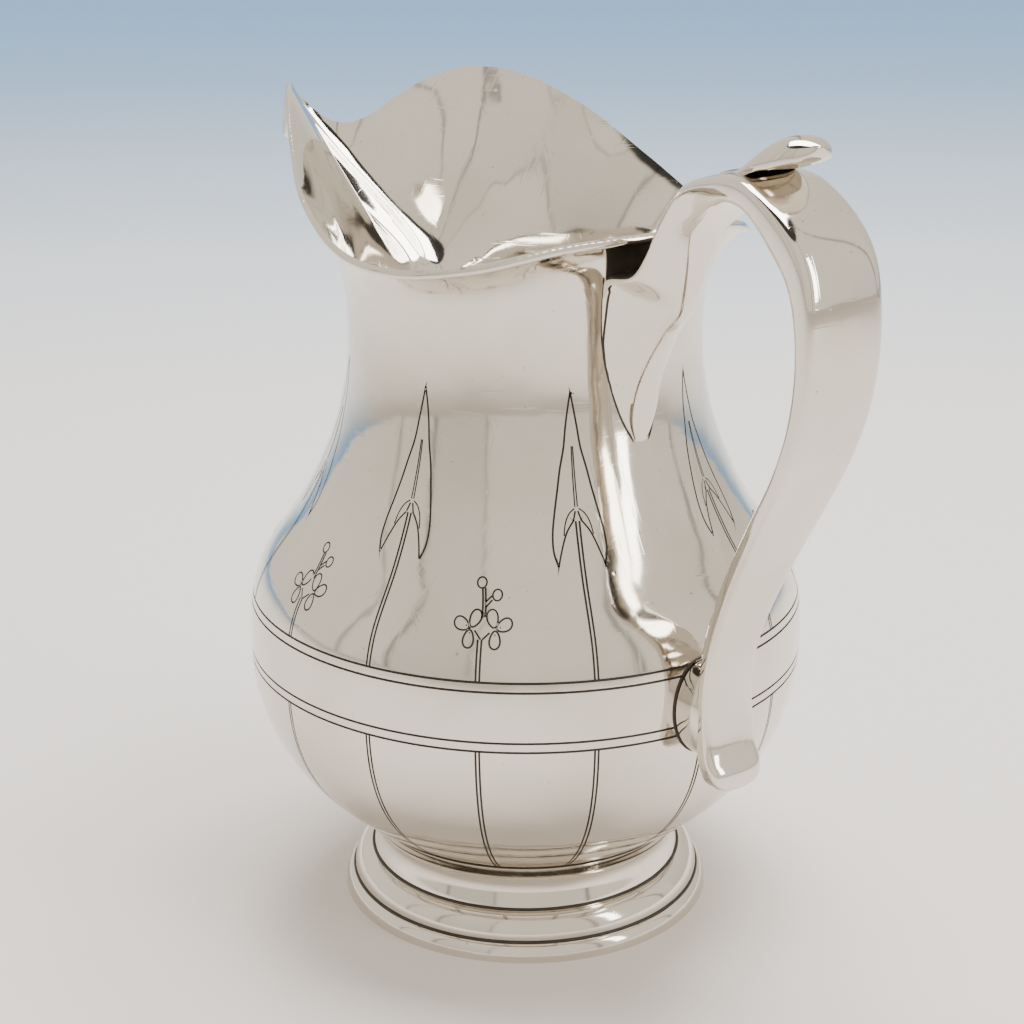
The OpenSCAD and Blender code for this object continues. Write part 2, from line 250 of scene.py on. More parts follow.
silverLook = {
    "clean": (0.74, 0.695, 0.625, 1), "warm": (0.66, 0.605, 0.53, 1), "speck": (0.30, 0.25, 0.19, 1),
    "speckShare": 0.7, "roughLow": 0.045, "roughHigh": 0.12,
    "waveHeight": 0.9 * mm, "rippleHeight": 0.16 * mm, "scratchHeight": 0.006 * mm, "pitHeight": 0.04 * mm,
    # scales are in repeats per metre
    "smudgeScale": 22, "cloudScale": 60, "speckScale": 520, "waveScale": 26, "rippleScale": 75,
    "pitScale": 160.0,
    # each run of scratches: scale, stretch, turn
    "scratches": [(900, (1, 0.03, 0.05), (0.3, 0.9, 0.4)), (800, (0.04, 1, 0.04), (1.1, 0.2, 0.9)),
                  (1000, (0.05, 0.04, 1), (0.5, 1.3, 0.2))],
}


def polishedSilver(name, wave=1.0):
    # wave scales the slow unevenness that hand raising leaves in the sheet
    s = silverLook
    f = Finish(name)
    smudge = f.noise(s["smudgeScale"], 4, 0.55)
    cloud = f.noise(s["cloudScale"], 3, 0.6)
    f.feed(metal=1.0)
    metal = f.blendColours(f.ramp(smudge, 0.42, 0.72), s["clean"], s["warm"])
    specks = f.ramp(f.noise(s["speckScale"], 2, 0.6), 0.72, 0.78) * s["speckShare"]
    f.feed(base=f.blendColours(specks, metal, s["speck"]))
    f.feed(rough=f.ramp(smudge * 0.6 + cloud * 0.4, 0.35, 0.7, s["roughLow"], s["roughHigh"]))
    skin = f.bump(f.noise(s["waveScale"], 1.0, 0.4), s["waveHeight"] * wave)
    skin = f.bump(f.noise(s["rippleScale"], 1.5, 0.5), s["rippleHeight"] * wave, 1.0, skin)
    runs = [f.ramp(f.noise(scale, 2, 0.6, stretch, turn), 0.62, 0.7)
            for scale, stretch, turn in s["scratches"]]
    skin = f.bump(runs[0] + runs[1] + runs[2], s["scratchHeight"], 1.0, skin)
    pits = f.add("ShaderNodeTexVoronoi", {"feature": "F1"},
                 {"Vector": f.place, "Scale": s["pitScale"]})["Distance"]
    skin = f.bump(f.ramp(pits, 0.0, 0.09), s["pitHeight"], 0.6, skin)
    f.feed(normal=skin)
    return f.material


# colours of the dark finish: oxide in the engraved cuts and solder seams, and painted shade where it is laid
# in the hollow by the handle root and in the grooves at the foot's steps
darkOxideAndShadeLook = {"dark": (0.012, 0.01, 0.008, 1), "light": (0.06, 0.05, 0.04, 1), "scale": 400, "rough": 0.5,
             "metal": 0.3}


def engravedOxideAndShade():
    f = Finish("engravedOxideAndShade")
    f.feed(base=f.blendColours(f.noise(darkOxideAndShadeLook["scale"], 3, 0.6), darkOxideAndShadeLook["dark"], darkOxideAndShadeLook["light"]),
           rough=darkOxideAndShadeLook["rough"], metal=darkOxideAndShadeLook["metal"])
    return f.material


vesselSilver = polishedSilver("vesselSilver")
footSilver = polishedSilver("footSilver", 0.35)
handleSilver = polishedSilver("handleSilver", 0.6)
oxideAndPaintedShade = engravedOxideAndShade()
print("finishes made")


vessel = {
    "bellyR": 80, "bellyZ": 81, "shoulderR": 65.5, "shoulderZ": 120, "neckR": 49.7, "neckZ": 172,
    "seatR": 47.6, "footH": 26.4, "floorZ": 13.5, "wall": 0.8,
    "mouthR": 61.4, "lipLowZ": 198, "lipBackZ": 207.5, "crestZ": 233.5, "dipZ": 213.4,
    "tipZ": 225, "spoutReach": 129.8,
    "columns": 224, "floorRows": 10, "sideRows": 62, "throatRows": 38, "crowding": 1.2,
    "floorPull": 0.72, "seatPull": 7,
}
# slopes are in millimetres outwards per millimetre up
seatSlope = 1.5
hipSlope = -0.5
shoulderSlope = -0.62
hipZ = mix(vessel["bellyZ"], vessel["shoulderZ"], 0.6)
hipR = mix(vessel["shoulderR"], vessel["bellyR"], 0.74)
profile = [[vessel["footH"], vessel["seatR"], seatSlope], [vessel["bellyZ"], vessel["bellyR"], 0],
           [hipZ, hipR, hipSlope], [vessel["shoulderZ"], vessel["shoulderR"], shoulderSlope],
           [vessel["neckZ"], vessel["neckR"], 0]]


def profileR(z):
    # outer radius of the vessel at a height, in mm
    i = max([k for k in range(len(profile) - 1) if profile[k][0] <= z], default=0)
    a, b = profile[i], profile[i + 1]
    h = b[0] - a[0]
    return hermite(a[1], b[1], a[2], b[2], h, (z - a[0]) / h)


def beakR(share):
    return mix(vessel["mouthR"], vessel["spoutReach"], share)


def riseZ(share):
    return mix(vessel["lipLowZ"], vessel["crestZ"], share)


def fallZ(share):
    return mix(vessel["dipZ"], vessel["crestZ"], share)


def backZ(share):
    return mix(vessel["lipLowZ"], vessel["lipBackZ"], share)


# lip by angle from the handle: [degrees, radius, height]
mouthR = vessel["mouthR"]
lip = [[-26, mouthR, backZ(0.85)], [0, mouthR, backZ(1)], [26, mouthR, backZ(0.85)],
       [50, mouthR, backZ(0.25)], [69, mouthR, backZ(0)], [87, mouthR, riseZ(0.06)],
       [108, beakR(0.013), riseZ(0.35)], [130, beakR(0.048), riseZ(0.76)], [150.5, beakR(0.184), riseZ(1)],
       [158.5, beakR(0.294), fallZ(0.97)], [169, beakR(0.528), fallZ(0.44)], [172, beakR(0.641), fallZ(0.14)],
       [174.5, beakR(0.752), fallZ(0)], [177, beakR(0.868), mix(vessel["dipZ"], vessel["tipZ"], 0.2)],
       [180, vessel["spoutReach"], vessel["tipZ"]]]
# throat by angle: [degrees, tilt of the lip above level, pull at the neck, pull at the lip]
throat = [[0, 36, 0.54, 0.27], [75, 38, 0.54, 0.27], [110, 50, 0.46, 0.26], [130, 58, 0.43, 0.26],
          [150, 60, 0.4, 0.29], [165, 54, 0.3, 0.3], [180, 54, 0.2, 0.3]]


def throatPoint(angle, t):
    # point of the throat in its own plane: t = 0 at the neck, 1 at the lip
    q = min(abs(angle), 180)
    neck = Vector((vessel["neckR"], vessel["neckZ"]))
    edge = Vector((smoothAt(lip, q, 1), smoothAt(lip, q, 2)))
    reach = (edge - neck).length
    tilt = math.radians(smoothAt(throat, q, 1))
    return bezier(neck, neck + Vector((0, reach * smoothAt(throat, q, 2))),
                  edge - reach * smoothAt(throat, q, 3) * Vector((math.cos(tilt), math.sin(tilt))), edge, t)


def onPlane(r, z, degrees):
    turn = math.radians(degrees)
    return Vector((r * math.cos(turn), r * math.sin(turn), z)) * mm


def crowd(degrees):
    # columns lie closer together towards the spout
    x = min(abs(degrees) / 180, 1)
    return math.copysign(180 * (1 - (1 - x) ** vessel["crowding"]), degrees)


def vesselSkin():
    # the outer surface alone, open at the mouth
    v = vessel
    tube = 60      # the neck is spun as a straight tube this high, then drawn out to the lip
    outward = Vector((seatSlope, 1)).normalized()
    seat = Vector((v["seatR"], v["footH"]))
    floor = [bezier(Vector((0, v["floorZ"])), Vector((v["seatR"] * v["floorPull"], v["floorZ"])),
                    seat - v["seatPull"] * outward, seat,
                    k / v["floorRows"]) for k in range(v["floorRows"])]
    side = [Vector((profileR(z), z)) for z in
            [mix(v["footH"], v["neckZ"], k / v["sideRows"]) for k in range(v["sideRows"])]]
    neck = [Vector((v["neckR"], v["neckZ"] + tube * k / v["throatRows"])) for k in range(v["throatRows"] + 1)]
    bm = bmesh.new()
    verts, edges = chain(bm, [(p.x, 0, p.y) for p in floor + side + neck])
    spinAbout(bm, verts + edges, v["columns"])
    for vert in bm.verts:
        r, z = math.hypot(vert.co.x, vert.co.y), vert.co.z
        degrees = crowd(math.degrees(math.atan2(vert.co.y, vert.co.x))) if r > 0.01 else 0
        if z > v["neckZ"] + 0.01:
            point = throatPoint(degrees, (z - v["neckZ"]) / tube)
            r, z = point.x, point.y
        vert.co = onPlane(r, z, degrees)
    bmesh.ops.recalc_face_normals(bm, faces=bm.faces)
    floorTop = 0.02      # metres; the faces below it are the floor's, and look down
    if sum(face.normal.z * face.calc_area() for face in bm.faces
           if face.calc_center_median().z < floorTop) > 0:
        bmesh.ops.reverse_faces(bm, faces=bm.faces)
    return bm


def makeVessel():
    piece = pieceFrom(vesselSkin(), "vesselBody", vesselSilver, ["vessel_body"])
    sheet = piece.modifiers.new("sheet", "SOLIDIFY")
    sheet.thickness = vessel["wall"] * mm
    sheet.offset = -1
    applyModifiers(piece)
    return piece


def cutAway(piece, bm):
    # takes one closed shape out of a piece
    mesh = bpy.data.meshes.new("cutter")
    bm.to_mesh(mesh)
    bm.free()
    cutter = bpy.data.objects.new("cutter", mesh)
    bpy.context.scene.collection.objects.link(cutter)
    cut = piece.modifiers.new("cut", "BOOLEAN")
    cut.operation = "DIFFERENCE"
    cut.solver = "MANIFOLD"
    cut.object = cutter
    applyModifiers(piece)
    bpy.data.objects.remove(cutter)


def seatOnVessel(piece):
    # the end of a soldered piece is filed to the curve of the vessel
    bm = vesselSkin()
    bmesh.ops.holes_fill(bm, edges=[edge for edge in bm.edges if edge.is_boundary])
    bmesh.ops.triangulate(bm, faces=[face for face in bm.faces if len(face.verts) > 4])
    cutAway(piece, bm)


body = makeVessel()
print("vessel raised,", len(body.data.polygons), "faces")

# bands, stems and sprays, in millimetres; a motif's places are (across, height)
engraving = {
    "bands": [96.3, 93.8, 79.8, 77.2], "bandWidth": 0.75, "lineWidth": 0.56, "hairWidth": 0.38,
    "slots": 16, "stemGap": 1.0, "stemFootZ": 27.2, "stemTopZ": 106.6, "step": 0.9, "bandSteps": 448,
    # blossoms: heart of each and the lean of its petals, in degrees
    "blossoms": [((-2.8, 109.0), (160, 62, 264)), ((3.8, 109.0), (112, 22, 272))],
    "petalLength": 4.5, "petalWidth": 3.4, "petalSteps": 16,
    "buds": [(-0.8, 119.0), (3.5, 116.4)], "budR": 1.25, "budSteps": 14,
    "stalks": [[(0.1, 111.4), (-0.1, 114.6), (-0.5, 117.7)], [(0.9, 111.6), (0.7, 114.2), (0.2, 117.9)]],
    "twigs": [[(0.8, 113.7), (2.3, 115.3)], [(0.6, 114.8), (2.1, 116.2)],
              [(-1.6, 108.6), (0.2, 106.6)], [(2.4, 108.2), (0.6, 106.6)]],
    "stamens": [(-4.0, 109.5), (-2.9, 107.9), (4.9, 109.4), (3.7, 107.7)], "stamen": (0.25, 0.1),
    # one side of the arrowhead
    "blade": [(0, 165.6), (0.9, 160.5), (1.55, 156.4), (2.3, 151.1), (3.6, 145.8), (4.7, 140.5), (5.9, 135.2),
              (6.9, 130.3), (7.15, 126), (6.3, 122.4)],
    "barb": [(6.3, 122.4), (5.5, 124.8), (4.2, 128.2), (2.9, 130.8), (1.0, 133.2)],
    "shoulder": [(0.6, 136), (2.1, 134.8), (3.3, 132.6), (4.0, 129.6)],
    "neckTick": [(0.35, 135.4), (1.1, 133.0)], "stemTop": (0.5, 133.0),
    "midrib": [(0.35, 136.4), (0.2, 151.5)],
    # a face this deep below the outer surface, and less than this share of the wall, is in a cut
    "cutDepth": 0.05, "cutShare": 0.8,
}


def onVessel(slot, across, z):
    r = profileR(z)
    return onPlane(r, z, slot + math.degrees(across / r))


def stroke(slot, spots, closed=False):
    # a line through places given as (across, height), with points close enough to follow the curve
    ends = spots + spots[:1] if closed else spots
    points = []
    for (u0, z0), (u1, z1) in zip(ends, ends[1:]):
        pieces = max(1, round(math.hypot(u1 - u0, z1 - z0) / engraving["step"]))
        points += [onVessel(slot, mix(u0, u1, k / pieces), mix(z0, z1, k / pieces)) for k in range(pieces)]
    return (points if closed else points + [onVessel(slot, *ends[-1])], closed)


def arcSpots(spots, count=14):
    # smooth run through a few places given as (across, height)
    rows = [[k, *spot] for k, spot in enumerate(spots)]
    return [(smoothAt(rows, t, 1), smoothAt(rows, t, 2))
            for t in [mix(0, len(spots) - 1, k / count) for k in range(count + 1)]]


def petal(centre, lean):
    # a rounded loop that starts and ends near the heart of the blossom
    e = engraving
    way = math.radians(lean)
    spots = []
    for k in range(e["petalSteps"]):
        q = math.tau * k / e["petalSteps"]
        along = e["petalLength"] * (0.54 - 0.46 * math.cos(q))
        side = e["petalWidth"] / 2 * math.sin(q) * (0.82 - 0.18 * math.cos(q))
        spots.append((centre[0] + along * math.cos(way) - side * math.sin(way),
                      centre[1] + along * math.sin(way) + side * math.cos(way)))
    return spots


def ringSpots(centre, radius, count):
    return [(centre[0] + radius * math.cos(math.tau * k / count),
             centre[1] + radius * math.sin(math.tau * k / count)) for k in range(count)]


def flowerStrokes(slot):
    e = engraving
    gap, foot = e["stemGap"] / 2, e["bands"][0]
    lines = [stroke(slot, petal(heart, lean), True) for heart, leans in e["blossoms"] for lean in leans]
    lines += [stroke(slot, ringSpots(bud, e["budR"], e["budSteps"]), True) for bud in e["buds"]]
    lines += [stroke(slot, [(side, foot), (side, e["stemTopZ"])]) for side in (-gap, gap)]
    lines += [stroke(slot, arcSpots(stalk)) for stalk in e["stalks"]]
    lines += [stroke(slot, twig) for twig in e["twigs"]]
    across, up = e["stamen"]
    lines += [stroke(slot, [spot, (spot[0] + across, spot[1] + up)]) for spot in e["stamens"]]
    return lines


def mirrored(side, spots):
    return [(side * across, z) for across, z in spots]


def arrowStrokes(slot):
    e = engraving
    lines, hairs = [], []
    for side in (-1, 1):
        lines += [stroke(slot, mirrored(side, arcSpots(e["blade"], 40))),
                  stroke(slot, mirrored(side, arcSpots(e["barb"]))),
                  stroke(slot, mirrored(side, e["neckTick"])),
                  stroke(slot, mirrored(side, [e["stemTop"], (e["stemGap"] / 2, e["bands"][0])]))]
        hairs += [stroke(slot, mirrored(side, arcSpots(e["shoulder"]))),
                  stroke(slot, mirrored(side, e["midrib"]))]
    return lines, hairs


def makeCutters():
    e = engraving
    turn = 360 / e["slots"]
    lines, hairs = [], []
    for k in range(e["slots"]):
        slot = k * turn
        for side in (-0.5, 0.5):
            across = side * e["stemGap"]
            lines.append(stroke(slot, [(across, e["bands"][3]), (across, e["stemFootZ"])]))
        if k % 2:
            arrow, fine = arrowStrokes(slot)
            lines += arrow
            hairs += fine
        elif k:
            lines += flowerStrokes(slot)
    steps = e["bandSteps"]
    rings = [([onPlane(profileR(z), z, 360 * k / steps) for k in range(steps)], True) for z in e["bands"]]
    return [roundLines("bandCutter", rings, e["bandWidth"]), roundLines("lineCutter", lines, e["lineWidth"]),
            roundLines("hairCutter", hairs, e["hairWidth"])]


def engrave(piece):
    # the lines are cut into the sheet, and the floor of each cut is left oxidised
    for bm in makeCutters():
        cutAway(piece, bm)
    piece.data.materials.clear()
    piece.data.materials.append(vesselSilver)
    piece.data.materials.append(oxideAndPaintedShade)
    for face in piece.data.polygons:
        face.material_index = 0
        r, z = math.hypot(face.center.x, face.center.y) / mm, face.center.z / mm
        depth = profileR(z) - r if vessel["footH"] < z < vessel["neckZ"] else 0
        if engraving["cutDepth"] < depth < vessel["wall"] * engraving["cutShare"]:
            face.material_index = 1
    piece.data.set_sharp_from_angle(angle=math.radians(30))


engrave(body)
print("vessel engraved,", len(body.data.polygons), "faces")

lipWire = {"height": 2.6, "thickness": 1.26, "tuck": 0.2, "lift": 0.01, "stations": 320}


def makeLipWire():
    w = lipWire
    turns = [0, 30, 60, 90, 120, 150, 180]
    sections = []
    for k in range(w["stations"] + 1):
        degrees = crowd(mix(-180, 180, k / w["stations"]))
        q = abs(degrees)
        edge = Vector((smoothAt(lip, q, 1), smoothAt(lip, q, 2)))
        reach = (edge - Vector((vessel["neckR"], vessel["neckZ"]))).length
        share = w["height"] / (3 * reach * smoothAt(throat, q, 3))
        top, low = [onPlane(*throatPoint(degrees, t), degrees) for t in (1, 1 - share)]
        ahead, behind = [onPlane(*throatPoint(degrees + turn, 1 - share / 2), degrees + turn)
                         for turn in (0.5, -0.5)]
        out = (ahead - behind).cross(top - low).normalized()
        sections.append([top - out * w["tuck"] * mm, low - out * w["tuck"] * mm] + [
            low.lerp(top, (1 - math.cos(math.radians(turn))) / 2)
            + out * (w["thickness"] * math.sin(math.radians(turn)) + w["lift"]) * mm for turn in turns])
    bm = sweep(sections, True)
    bmesh.ops.remove_doubles(bm, verts=bm.verts, dist=1e-6)
    bmesh.ops.recalc_face_normals(bm, faces=bm.faces)
    return pieceFrom(bm, "lipWire", vesselSilver, ["lip_wire"])


makeLipWire()
print("lip wire laid")

foot = {"collarWaistR": 44.4, "collarFootR": 46, "collarFootZ": 12.3, "mouldingR": 51.8, "baseH": 5,
        "footR": 54.6, "sheet": 1.2, "steps": 192, "waistAt": 0.55, "collarSteps": 20, "arcSteps": 14,
        "solderWidth": 0.85, "seatSolderWidth": 0.4}


def arcPoints(centre, a, b, start, end, count):
    return [(centre[0] + a * math.cos(math.radians(mix(start, end, k / count))),
             centre[1] + b * math.sin(math.radians(mix(start, end, k / count)))) for k in range(count + 1)]


def spunRing(name, outline, node):
    bm = bmesh.new()
    verts, edges = chain(bm, [(r * mm, 0, z * mm) for r, z in outline])
    edges.append(bm.edges.new((verts[-1], verts[0])))
    spinAbout(bm, verts + edges, foot["steps"])
    bmesh.ops.recalc_face_normals(bm, faces=bm.faces)
    piece = pieceFrom(bm, name, footSilver, [node])
    piece.data.set_sharp_from_angle(angle=math.radians(40))
    return piece


def makeFoot():
    f, v = foot, vessel
    waist = [[f["collarFootZ"], f["collarFootR"]],
             [mix(f["collarFootZ"], v["footH"], f["waistAt"]), f["collarWaistR"]], [v["footH"], v["seatR"]]]
    outside = [(smoothAt(waist, z, 1), z) for z in
               [mix(f["collarFootZ"] + 0.25, v["footH"], k / f["collarSteps"])
                for k in range(f["collarSteps"] + 1)]]
    inside = [(r - f["sheet"], z) for r, z in outside[::-1]]
    inside[0] = (inside[0][0], inside[0][1] - f["sheet"] / seatSlope)
    spunRing("footCollar", outside + inside, "foot_collar")
    centre = (f["collarFootR"], f["baseH"])
    a, b = f["mouldingR"] - f["collarFootR"], f["collarFootZ"] - f["baseH"]
    ledge = centre[0] - 2 * f["sheet"]
    spunRing("footMoulding", arcPoints(centre, a, b, 3, 90, f["arcSteps"])
             + [(ledge, centre[1] + b), (ledge, centre[1] + b - f["sheet"])]
             + arcPoints(centre, a - f["sheet"], b - f["sheet"], 90, 0, f["arcSteps"]), "foot_moulding")
    centre = (f["mouldingR"], 0)
    spunRing("footBaseWire", arcPoints(centre, f["footR"] - f["mouldingR"], f["baseH"], 0, 90, 10)
             + [(centre[0] - 2 * f["sheet"], f["baseH"]), (centre[0] - 2 * f["sheet"], 0)], "foot_base_wire")


def seamRing(r, z):
    # a closed line round the axis
    return [onPlane(r, z, 360 * k / foot["steps"]) for k in range(foot["steps"])], True


def makeFootSolderAndShade():
    f, v = foot, vessel
    # the two dark rings at the foot's steps are solder lines and also painted shade of the grooves between
    # the rings
    steps = [seamRing(f["collarFootR"] + 0.1, f["collarFootZ"] + 0.1),
             seamRing(f["mouldingR"] + 0.1, f["baseH"] + 0.15)]
    seat = [seamRing(v["seatR"] + 0.15, v["footH"] - 0.1)]
    pieceFrom(roundLines("footStepSolderShade", steps, f["solderWidth"]), "footStepSolderShade", oxideAndPaintedShade, None)
    pieceFrom(roundLines("seatSolder", seat, f["seatSolderWidth"]), "seatSolder", oxideAndPaintedShade, None)


makeFoot()
makeFootSolderAndShade()
print("foot spun")

handle = {"out": 47.5, "topZ": 228.4, "leafTipZ": 146.9, "tailZ": 65.3, "width": 25.8, "bossGap": 6.8,
          "bossZ": 84.2, "sheet": 1.1, "lengthSteps": 4, "solderWidth": 0.5}


def outX(share):
    return mix(vessel["bellyR"] + handle["bossGap"], vessel["bellyR"] + handle["out"], share)


def rootX(share):
    return mix(vessel["neckR"], vessel["bellyR"] + handle["out"], share)


def upZ(share):
    return mix(handle["bossZ"], handle["topZ"], share)


def leafZ(share):
    return mix(handle["leafTipZ"], vessel["lipLowZ"], share)


def tailZ(share):
    return mix(handle["tailZ"], handle["bossZ"], share)


half = handle["width"] / 2
# [station, outer x, outer z, outer half-width, finger x, finger z, finger half-width]
strap = [
    [0, rootX(-0.02), leafZ(-0.02), half * 0.10, rootX(0.03), leafZ(0.00), half * 0.06],
    [1, rootX(-0.05), leafZ(0.22), half * 0.62, rootX(0.035), leafZ(0.18), half * 0.36],
    [2, rootX(-0.06), leafZ(0.47), half * 0.92, rootX(0.07), leafZ(0.40), half * 0.38],
    [3, rootX(-0.05), leafZ(0.78), half * 1.06, rootX(0.16), leafZ(0.66), half * 0.30],
    [4, rootX(-0.02), leafZ(0.96), half * 1.12, rootX(0.23), leafZ(0.79), half * 0.26],
    [5, rootX(0.12), leafZ(0.995), half * 1.06, rootX(0.27), leafZ(0.91), half * 0.28],
    [6, rootX(0.185), leafZ(1.11), half * 0.98, rootX(0.30), leafZ(1.06), half * 0.34],
    [7, rootX(0.245), leafZ(1.27), half * 0.95, rootX(0.335), leafZ(1.21), half * 0.46],
    [8, rootX(0.35), leafZ(1.49), half * 0.93, rootX(0.41), leafZ(1.33), half * 0.66],
    [9, rootX(0.48), upZ(0.989), half * 0.94, rootX(0.50), upZ(0.936), half * 0.82],
    [10, rootX(0.60), upZ(1.0), half * 0.96, rootX(0.59), upZ(0.954), half * 0.92],
    [11, outX(0.46), upZ(0.99), half * 0.99, outX(0.40), upZ(0.944), half * 0.94],
    [12, outX(0.76), upZ(0.94), half * 1.00, outX(0.61), upZ(0.895), half * 0.95],
    [13, outX(0.94), upZ(0.87), half * 0.98, outX(0.79), upZ(0.83), half * 0.94],
    [14, outX(1.00), upZ(0.75), half * 0.95, outX(0.855), upZ(0.73), half * 0.92],
    [15, outX(0.955), upZ(0.63), half * 0.91, outX(0.81), upZ(0.62), half * 0.88],
    [16, outX(0.81), upZ(0.52), half * 0.89, outX(0.68), upZ(0.515), half * 0.86],
    [17, outX(0.60), upZ(0.41), half * 0.86, outX(0.475), upZ(0.41), half * 0.83],
    [18, outX(0.36), upZ(0.285), half * 0.78, outX(0.235), upZ(0.285), half * 0.74],
    [19, outX(0.16), upZ(0.155), half * 0.68, outX(0.05), upZ(0.155), half * 0.64],
    [20, outX(0.09), upZ(0.05), half * 0.67, outX(0.00), upZ(0.045), half * 0.63],
    [21, outX(0.14), tailZ(0.62), half * 0.69, outX(0.01), tailZ(0.60), half * 0.65],
    [22, outX(0.21), tailZ(0.30), half * 0.68, outX(0.05), tailZ(0.27), half * 0.64],
    [22.5, outX(0.225), tailZ(0.13), half * 0.60, outX(0.07), tailZ(0.11), half * 0.56],
    [22.75, outX(0.225), tailZ(0.05), half * 0.45, outX(0.08), tailZ(0.04), half * 0.42],
    [23, outX(0.20), tailZ(0.01), half * 0.16, outX(0.12), tailZ(0.01), half * 0.15]]
# half a section from the middle of the outer face to the middle of the finger face:
# (share of half-width, share of depth from outer face to finger face)
outerHalf = [(0.0, 0.0), (0.35, 0.01), (0.66, 0.04), (0.86, 0.09), (0.97, 0.18), (1.0, 0.34), (1.0, 0.62),
             (1.0, 1.0)]
fingerHalf = [(1.0, 1.0), (0.6, 1.05), (0.0, 1.07)]


def strapPoint(k, share, depth, side, sheet=0.0, finger=False):
    # a place on the section; with a sheet thickness, the place behind it on the inside of the shell
    outer = Vector((smoothAt(strap, k, 1), smoothAt(strap, k, 2)))
    inner = Vector((smoothAt(strap, k, 4), smoothAt(strap, k, 5)))
    deep = min(sheet / (inner - outer).length, 0.45)
    depth = depth * (1 - deep) if finger else deep + depth * (1 - deep)
    across = max(mix(smoothAt(strap, k, 3), smoothAt(strap, k, 6), min(max(depth, 0), 1)) - sheet, 0.15)
    centre = outer.lerp(inner, depth)
    return Vector((centre.x, side * share * across, centre.y)) * mm


def makeShell(name, halfSection, finger, node):
    # the section runs across the face and back along the inside of the sheet, and is drawn along the handle
    there = [(share, depth, -1) for share, depth in halfSection] + [
        (share, depth, 1) for share, depth in halfSection[-2::-1]]
    steps = handle["lengthSteps"]
    sections = [[strapPoint(k / steps, *spot, 0.0, finger) for spot in there]
                + [strapPoint(k / steps, *spot, handle["sheet"], finger) for spot in there[::-1]]
                for k in range(strap[-1][0] * steps + 1)]
    bm = sweep(sections, True)
    closeEnds(bm)
    piece = pieceFrom(bm, name, handleSilver, [node])
    smooth = piece.modifiers.new("smooth", "SUBSURF")
    smooth.levels = smooth.render_levels = 1
    applyModifiers(piece)
    seatOnVessel(piece)
    piece.data.materials.clear()
    piece.data.materials.append(handleSilver)
    piece.data.materials.append(oxideAndPaintedShade)
    # painted shade: outer-shell faces turned to the hollow between strap and lip take the dark finish, where
    # shadow falls
    hollow = Vector((-0.7, 0, 0.7))
    for face in piece.data.polygons:
        spot = face.center / mm
        dark = (not finger and face.normal.dot(hollow) > 0.45 and abs(spot.y) < handle["width"] * 0.48
                and leafZ(0.9) < spot.z < vessel["lipBackZ"] and spot.x < rootX(0.3))
        face.material_index = 1 if dark else 0
    piece.data.set_sharp_from_angle(angle=math.radians(50))


makeShell("handleOuterShell", outerHalf[::-1], False, "handle_outer_shell")
makeShell("handleInnerShell", fingerHalf, True, "handle_inner_shell")


def leafEdge():
    # where the flank of the root meets the neck, up one side and down the other
    stations, perStation, probes = 4, 8, 40
    lean = 0.72      # the throat's own measure against height, at the root of the handle
    runs = []
    for side in (-1, 1):
        run = []
        for k in range(stations * perStation + 1):
            outer, inner = strapPoint(k / perStation, 1, 0, side), strapPoint(k / perStation, 1, 1, side)
            for step in range(probes + 1):
                spot = outer.lerp(inner, step / probes)
                z = min(spot.z / mm, vessel["neckZ"])
                reach = profileR(z) if z < vessel["neckZ"] else throatPoint(
                    math.degrees(math.atan2(spot.y, spot.x)),
                    lean * (spot.z / mm - vessel["neckZ"]) / (vessel["lipLowZ"] - vessel["neckZ"])).x
                if math.hypot(spot.x, spot.y) / mm >= reach:
                    break
            run.append(spot)
        runs.append(run if side > 0 else run[::-1])
    return runs[0] + runs[1]


pieceFrom(roundLines("leafSolder", [(leafEdge(), False)], handle["solderWidth"]), "leafSolder", oxideAndPaintedShade, None)
print("handle lofted")

# the boss stands the foot of the strap off the belly
boss = {"z": 84.2, "height": 26.4, "width": 19, "gap": 6.8, "pinch": 0.9, "tuck": 2.2, "rings": 16,
        "points": 48, "intoStrap": 1.2, "solderWidth": 0.7, "solderLift": 0.05, "solderSteps": 96}


def bossRing(t):
    c = boss
    swell = mix(1, c["pinch"], (2 * t - 1) ** 4)
    x = vessel["bellyR"] + mix(-c["tuck"], c["gap"] + c["intoStrap"], t)
    return [Vector((x, swell * c["width"] / 2 * math.cos(math.tau * k / c["points"]),
                    c["z"] + swell * c["height"] / 2 * math.sin(math.tau * k / c["points"]))) * mm
            for k in range(c["points"])]


def makeBoss():
    bm = sweep([bossRing(k / boss["rings"]) for k in range(boss["rings"] + 1)], True)
    closeEnds(bm)
    piece = pieceFrom(bm, "handleBoss", handleSilver, ["handle_boss"])
    seatOnVessel(piece)
    piece.data.set_sharp_from_angle(angle=math.radians(40))
    seam = []
    for k in range(boss["solderSteps"]):
        q = math.tau * k / boss["solderSteps"]
        across = boss["width"] / 2 * math.cos(q)
        z = boss["z"] + boss["height"] / 2 * math.sin(q)
        r = profileR(z)
        seam.append(onPlane(r + boss["solderLift"], z, math.degrees(math.asin(across / r))))
    pieceFrom(roundLines("bossSolder", [(seam, True)], boss["solderWidth"]), "bossSolder", oxideAndPaintedShade, None)


makeBoss()
print("boss set")

thumb = {"length": 28, "width": 19, "rise": 10.5, "drop": 7.4, "swell": 1.8, "rings": 32, "points": 32,
         "rootWidth": 0.66, "rootDrop": 0.6, "lift": 1.53, "tipLift": 0.85, "crowding": 1.6}


